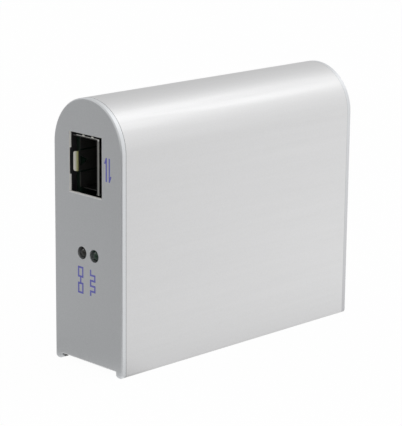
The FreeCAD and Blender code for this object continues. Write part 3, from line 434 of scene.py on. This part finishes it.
def moulded(name, dark, light, roughness, grain_mm):
    """Moulded plastic, resin or ceramic with an even fine grain."""
    material, tree, place = start_material(name)
    grain = speckle(tree, place, grain_mm, 3.0)
    surface = node(
        tree,
        "BsdfPrincipled",
        {
            "Base Color": node(
                tree, "Mix", {"Factor": grain, "A": dark, "B": light}, data_type="RGBA"
            ),
            "Roughness": node(
                tree, "MapRange", (grain, 0, 1, roughness - 0.06, roughness + 0.06)
            ),
            "Normal": node(tree, "Bump", {"Height": grain, "Distance": 0.012 * MM}),
        },
    )
    node(tree, "OutputMaterial", {"Surface": surface})
    return material


def black_moulding():
    """Glass-filled nylon: black, with a dry grain from the fibres."""
    return moulded("black_moulding", "#0E0E0F", "#1B1B1C", 0.5, 0.3)


def chip_resin():
    """Filled epoxy of chip packages: charcoal and matt."""
    return moulded("chip_resin", "#151618", "#232427", 0.62, 0.25)


def ferrite():
    """Sintered ferrite: dark grey with a sandy grain."""
    return moulded("ferrite", "#232325", "#37373A", 0.7, 0.35)


def chip_ceramic():
    """Fired chip capacitors: tan and smooth."""
    return moulded("chip_ceramic", "#8F6E4A", "#B08C63", 0.4, 0.4)


def board_laminate():
    """Glass laminate under green solder mask, with paler copper tracks showing through."""
    material, tree, place = start_material("board_laminate")
    on_edge = node(tree, "Mapping", {"Vector": place, "Rotation": (0, math.pi / 2, 0)})
    tracks = node(
        tree,
        "TexBrick",
        {"Vector": on_edge, "Scale": 1 / (1.2 * MM), "Mortar Size": 0.18, "Mortar Smooth": 0.4},
    ).outputs["Fac"]
    weave = speckle(tree, place, 0.5)
    mask = node(
        tree, "Mix", {"Factor": weave, "A": "#050E09", "B": "#08160D"}, data_type="RGBA"
    )
    surface = node(
        tree,
        "BsdfPrincipled",
        {
            "Base Color": node(
                tree, "Mix", {"Factor": tracks, "A": mask, "B": "#0C2016"}, data_type="RGBA"
            ),
            "Roughness": node(tree, "MapRange", (weave, 0, 1, 0.42, 0.52)),
            "Normal": node(tree, "Bump", {"Height": tracks, "Distance": 0.03 * MM}),
        },
    )
    node(tree, "OutputMaterial", {"Surface": surface})
    return material


def lens(name, dark, light):
    """Cast epoxy of a lamp: tinted, glossy and a little cloudy."""
    material, tree, place = start_material(name)
    cloud = speckle(tree, place, 0.8)
    surface = node(
        tree,
        "BsdfPrincipled",
        {
            "Base Color": node(
                tree, "Mix", {"Factor": cloud, "A": dark, "B": light}, data_type="RGBA"
            ),
            "Roughness": node(tree, "MapRange", (cloud, 0, 1, 0.08, 0.16)),
            "IOR": 1.54,
            "Transmission Weight": 0.35,
            "Normal": node(tree, "Bump", {"Height": cloud, "Distance": 0.01 * MM}),
        },
    )
    node(tree, "OutputMaterial", {"Surface": surface})
    return material


def smoky_lens():
    """Lamp with a smoky grey lens."""
    return lens("smoky_lens", "#1B1B19", "#34332F")


def green_lens():
    """Lamp with a dark green lens."""
    return lens("green_lens", "#10291C", "#1F4630")


# ---- the solids ---------------------------------------------------------------------------------

FINISHES = {
    "anodised_aluminium": anodised_aluminium,
    "painted_cap": silver_paint,
    "zinc_plated_steel": zinc_plated_steel,
    "board_laminate": board_laminate,
    "cage_steel": cage_steel,
    "spring_steel": spring_steel,
    "tin_plate": tin_plate,
    "latch_sheet": latch_sheet,
    "black_moulding": black_moulding,
    "gilt_contact": gilt_contact,
    "smoky_lens": smoky_lens,
    "green_lens": green_lens,
    "tinned_lead": tinned_lead,
    "chip_resin": chip_resin,
    "ferrite": ferrite,
    "capacitor_can": capacitor_can,
    "chip_ceramic": chip_ceramic,
}
EDGE_BREAK = 0.12 * MM


def finish_solids():
    """Gives every solid of the frame the finish of its slot."""
    made = {slot: finish() for slot, finish in FINISHES.items()}
    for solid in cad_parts.values():
        for place in solid.material_slots:
            place.material = made[place.material.name.split(".")[0]]


def break_edges():
    """Rounds the sharp corners of the caps and of the extrusion a little, so that they catch light
    and the seams show as fine grooves."""
    for label in ("front_cap", "rear_cap", "housing"):
        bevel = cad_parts[label].modifiers.new("broken_edges", "BEVEL")
        bevel.width = EDGE_BREAK
        bevel.segments = 2
        bevel.limit_method = "ANGLE"
        bevel.angle_limit = math.radians(60)


# ---- marks printed on the front cap -------------------------------------------------------------

# strokes in millimetres, drawn upright and read from left to right
ARROWS = [
    [(-2.8, 0.55), (2.8, 0.55)],
    [(1.7, 1.05), (2.8, 0.55)],
    [(2.8, -0.55), (-2.8, -0.55)],
    [(-1.7, -1.05), (-2.8, -0.55)],
]
LINKED_BOXES = [
    [(-3.3, -0.8), (-3.3, 0.8), (-0.9, 0.8), (-0.9, -0.8), (-3.3, -0.8)],
    [(-0.9, 0.0), (0.9, 0.0)],
    [(0.9, -0.8), (0.9, 0.8), (3.3, 0.8), (3.3, -0.8), (0.9, -0.8)],
]
PULSE = [
    [(-3.2, -0.8), (-2.0, -0.8), (-2.0, 0.8), (-0.6, 0.8), (-0.6, -0.8)],
    [(-0.6, -0.8), (0.8, -0.8), (0.8, 0.8), (2.2, 0.8), (2.2, -0.8), (3.2, -0.8)],
]
ARROW_WIDTH, MARK_WIDTH = 0.46 * MM, 0.48 * MM
ARROWS_ASIDE = 3.9 * MM
MARK_SHIFT, MARK_DROP = 0.6 * MM, 7.2 * MM
INK_LIFT, RUN_LIFT = 0.004 * MM, 0.002 * MM


def stroke(points, width):
    """A bar of one width along a line of points in the plane, as one quad for each run."""
    quads = []
    for start, end in zip(points, points[1:]):
        along = (end - start).normalized()
        side = Vector((-along.y, along.x)) * width / 2
        cap = along * width / 2
        quads.append(
            [start - cap - side, end + cap - side, end + cap + side, start - cap + side]
        )
    return quads


def print_mark(name, centre, strokes, width):
    """A printed mark on the front cap, turned to read downwards. Each run of its strokes lies a
    hair above the one before, so that none shades another where they cross."""
    mesh = bmesh.new()
    ink_y = FRONT[0].y - INK_LIFT
    for points in strokes:
        turned = [Vector((y, -x)) * MM for x, y in points]
        for quad in stroke(turned, width):
            corners = [mesh.verts.new((centre[0] + p.x, ink_y, centre[1] + p.y)) for p in quad]
            mesh.faces.new(corners)
            ink_y -= RUN_LIFT
    data = bpy.data.meshes.new(name)
    mesh.to_mesh(data)
    mesh.free()
    mark = bpy.data.objects.new(name, data)
    bpy.context.scene.collection.objects.link(mark)
    data.materials.append(print_ink())
    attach(mark, "root")


def make_marks():
    """Arrows in and out beside the slot, a link sign under one lamp and a pulse under the other."""
    slot_side = SLOT_CAGE[1].x + ARROWS_ASIDE
    slot_height = (SLOT_CAGE[0].z + SLOT_CAGE[1].z) / 2
    print_mark("slot_arrows", (slot_side, slot_height), ARROWS, ARROW_WIDTH)
    for lamp, name, strokes in (
        ("link_led", "link_mark", LINKED_BOXES),
        ("activity_led", "pulse_mark", PULSE),
    ):
        low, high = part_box(lamp)
        centre = ((low.x + high.x) / 2 - MARK_SHIFT, (low.z + high.z) / 2 - MARK_DROP)
        print_mark(name, centre, strokes, MARK_WIDTH)


# ---- camera and lamps ---------------------------------------------------------------------------

AZIMUTH, ELEVATION, ROLL = (math.radians(angle) for angle in (45.3, 14.18, 0.583))
CAMERA_DISTANCE = 499.5 * MM
CAMERA_LENS = 157.6
AIM = CASE_CENTRE + Vector((-2.51, 0, -1.84)) * MM
LAMP_DISTANCE = 0.9


def make_camera():
    """Looks at the front cap and one side from slightly above, with a long lens."""
    back = Vector(
        (
            math.sin(AZIMUTH) * math.cos(ELEVATION),
            -math.cos(AZIMUTH) * math.cos(ELEVATION),
            math.sin(ELEVATION),
        )
    )
    level = Vector((math.cos(AZIMUTH), math.sin(AZIMUTH), 0))
    upright = back.cross(level)
    right = level * math.cos(ROLL) + upright * math.sin(ROLL)
    up = upright * math.cos(ROLL) - level * math.sin(ROLL)
    camera = bpy.data.objects.new("camera", bpy.data.cameras.new("camera"))
    bpy.context.scene.collection.objects.link(camera)
    camera.data.lens = CAMERA_LENS
    camera.data.clip_start = 0.01
    turned = Matrix((right, up, back)).transposed().to_4x4()
    camera.matrix_world = Matrix.Translation(AIM + back * CAMERA_DISTANCE) @ turned
    bpy.context.scene.camera = camera


def softbox(name, direction, size, watts):
    """A square lamp that faces the case from a direction."""
    data = bpy.data.lights.new(name, "AREA")
    data.shape = "SQUARE"
    data.size = size
    data.energy = watts
    lamp = bpy.data.objects.new(name, data)
    bpy.context.scene.collection.objects.link(lamp)
    away = Vector(direction).normalized()
    lamp.location = CASE_CENTRE + away * LAMP_DISTANCE
    lamp.rotation_mode = "QUATERNION"
    lamp.rotation_quaternion = away.to_track_quat("Z", "Y")


# ---- tent and table -----------------------------------------------------------------------------

TENT_SIDE = Vector((0.70, 0.55, 0.35)).normalized()
TENT_DARK, TENT_LIGHT = 0.40, 1.0
TABLE_RADIUS = 2.5
TABLE_CORNER = Vector((FRONT[1].x, FRONT[0].y, 0))
TABLE_SIDE = Vector((0.3, 0.95, 0)).normalized()
TABLE_FADE = 12 * MM
TABLE_DARK, TABLE_LIGHT = 0.375, 0.88
REAR_SIDE = Vector((-1, 1, 0)).normalized()
REAR_START, REAR_END = -120 * MM, 60 * MM
REAR_DARK, REAR_LIGHT = -0.2, 0.13
FAR_START, FAR_END, FAR_SHADE = -100 * MM, -220 * MM, -0.10
STRIP_DEPTH = 1.3 * MM
STRIP_LIGHT = 0.35
FOOT_REACH, FOOT_SHADE = 25 * MM, 0.86
UNDER_EDGE, UNDER_END, UNDER_SHADE = 1.3 * MM, 1.8 * MM, 0.05
TABLE_GLOW = 0.97


def make_tent():
    """White all round for the camera, and a tent of light that is brighter at the back right."""
    world = bpy.data.worlds.new("white_tent")
    bpy.context.scene.world = world
    world.use_nodes = True
    tree = world.node_tree
    tree.nodes.clear()
    camera_ray = node(tree, "LightPath").outputs["Is Camera Ray"]
    direction = node(tree, "TexCoord").outputs["Generated"]
    side = node(tree, "VectorMath", (direction, TENT_SIDE), operation="DOT_PRODUCT")
    level = node(tree, "MapRange", (side, -1, 1, TENT_DARK, TENT_LIGHT))
    shown = node(tree, "Background", {"Color": "#FFFFFF", "Strength": 1.0})
    tent = node(tree, "Background", {"Color": "#FFFFFF", "Strength": level})
    chosen = node(tree, "MixShader", (camera_ray, tent, shown))
    node(tree, "OutputWorld", {"Surface": chosen})


def foot_shade(tree, place):
    """Shade on the table: faint close round the case and deep under it."""
    apart = node(tree, "SeparateXYZ", [place])
    half = (cad_box[1] - cad_box[0]) / 2
    depths = []
    for axis, reach in (("X", half.x), ("Y", half.y)):
        away = node(tree, "Math", [apart.outputs[axis]], operation="ABSOLUTE")
        depths.append(node(tree, "Math", (reach, away), operation="SUBTRACT"))
    inside = node(tree, "Math", depths, operation="MINIMUM")
    near = node(tree, "MapRange", (inside, -FOOT_REACH, 0, 1, FOOT_SHADE))
    under = node(tree, "MapRange", (inside, UNDER_EDGE, UNDER_END, 1, UNDER_SHADE))
    return node(tree, "Math", (near, under), operation="MULTIPLY")


def table_light(tree, place):
    """What gloss sees on the table: dark in front and darker further off, light beside and behind
    the case, a bright strip at the foot of the front cap and the shade under the case."""
    corner = node(tree, "VectorMath", (place, TABLE_CORNER), operation="SUBTRACT")
    beside = node(tree, "VectorMath", (corner, TABLE_SIDE), operation="DOT_PRODUCT")
    behind = node(tree, "VectorMath", (corner, REAR_SIDE), operation="DOT_PRODUCT")
    depth = node(tree, "SeparateXYZ", [corner]).outputs["Y"]
    strip = between(tree, depth, -STRIP_DEPTH, STRIP_DEPTH)
    level = node(tree, "MapRange", (beside, -TABLE_FADE, TABLE_FADE, TABLE_DARK, TABLE_LIGHT))
    for part in (
        node(tree, "MapRange", (behind, REAR_START, REAR_END, REAR_DARK, REAR_LIGHT)),
        node(tree, "MapRange", (depth, FAR_START, FAR_END, 0, FAR_SHADE)),
        node(tree, "MapRange", (strip, 0, 1, 0, STRIP_LIGHT)),
    ):
        level = node(tree, "Math", (level, part), operation="ADD")
    return node(tree, "Math", (level, foot_shade(tree, place)), operation="MULTIPLY")


def white_table():
    """Matt white paper with a faint tooth. It glows white to the camera and in what shines, and
    keeps a little of the case's shadow."""
    material, tree, place = start_material("white_table")
    path = node(tree, "LightPath")
    gloss = path.outputs["Is Glossy Ray"]
    seen = node(tree, "Math", (path.outputs["Is Camera Ray"], gloss), operation="MAXIMUM")
    seen = node(
        tree, "Math", (seen, path.outputs["Is Transmission Ray"]), operation="MAXIMUM"
    )
    level = table_light(tree, place)
    paper = node(
        tree,
        "Mix",
        {"Factor": speckle(tree, place, 2.0), "A": "#F4F4F4", "B": "#FAFAFA"},
        data_type="RGBA",
    )
    matt = node(tree, "BsdfDiffuse", {"Color": paper})
    strength = node(tree, "MapRange", (gloss, 0, 1, 1, level))
    glow = node(tree, "Emission", {"Color": "#FFFFFF", "Strength": strength})
    share = node(tree, "Math", (seen, TABLE_GLOW), operation="MULTIPLY")
    surface = node(tree, "MixShader", (share, matt, glow))
    node(tree, "OutputMaterial", {"Surface": surface})
    return material


def make_table():
    """A round table under the case."""
    mesh = bmesh.new()
    bmesh.ops.create_circle(mesh, cap_ends=True, segments=64, radius=TABLE_RADIUS)
    data = bpy.data.meshes.new("table")
    mesh.to_mesh(data)
    mesh.free()
    table = bpy.data.objects.new("table", data)
    bpy.context.scene.collection.objects.link(table)
    table.location.z = cad_box[0].z
    data.materials.append(white_table())


finish_solids()
break_edges()
make_marks()
make_camera()
make_tent()
make_table()
softbox("rear_softbox", (0.31, 0.54, 0.785), 0.55, 0.68)
softbox("front_softbox", (-0.65, -0.55, 0.45), 0.3, 0.8)
bpy.context.scene.view_settings.view_transform = "Standard"
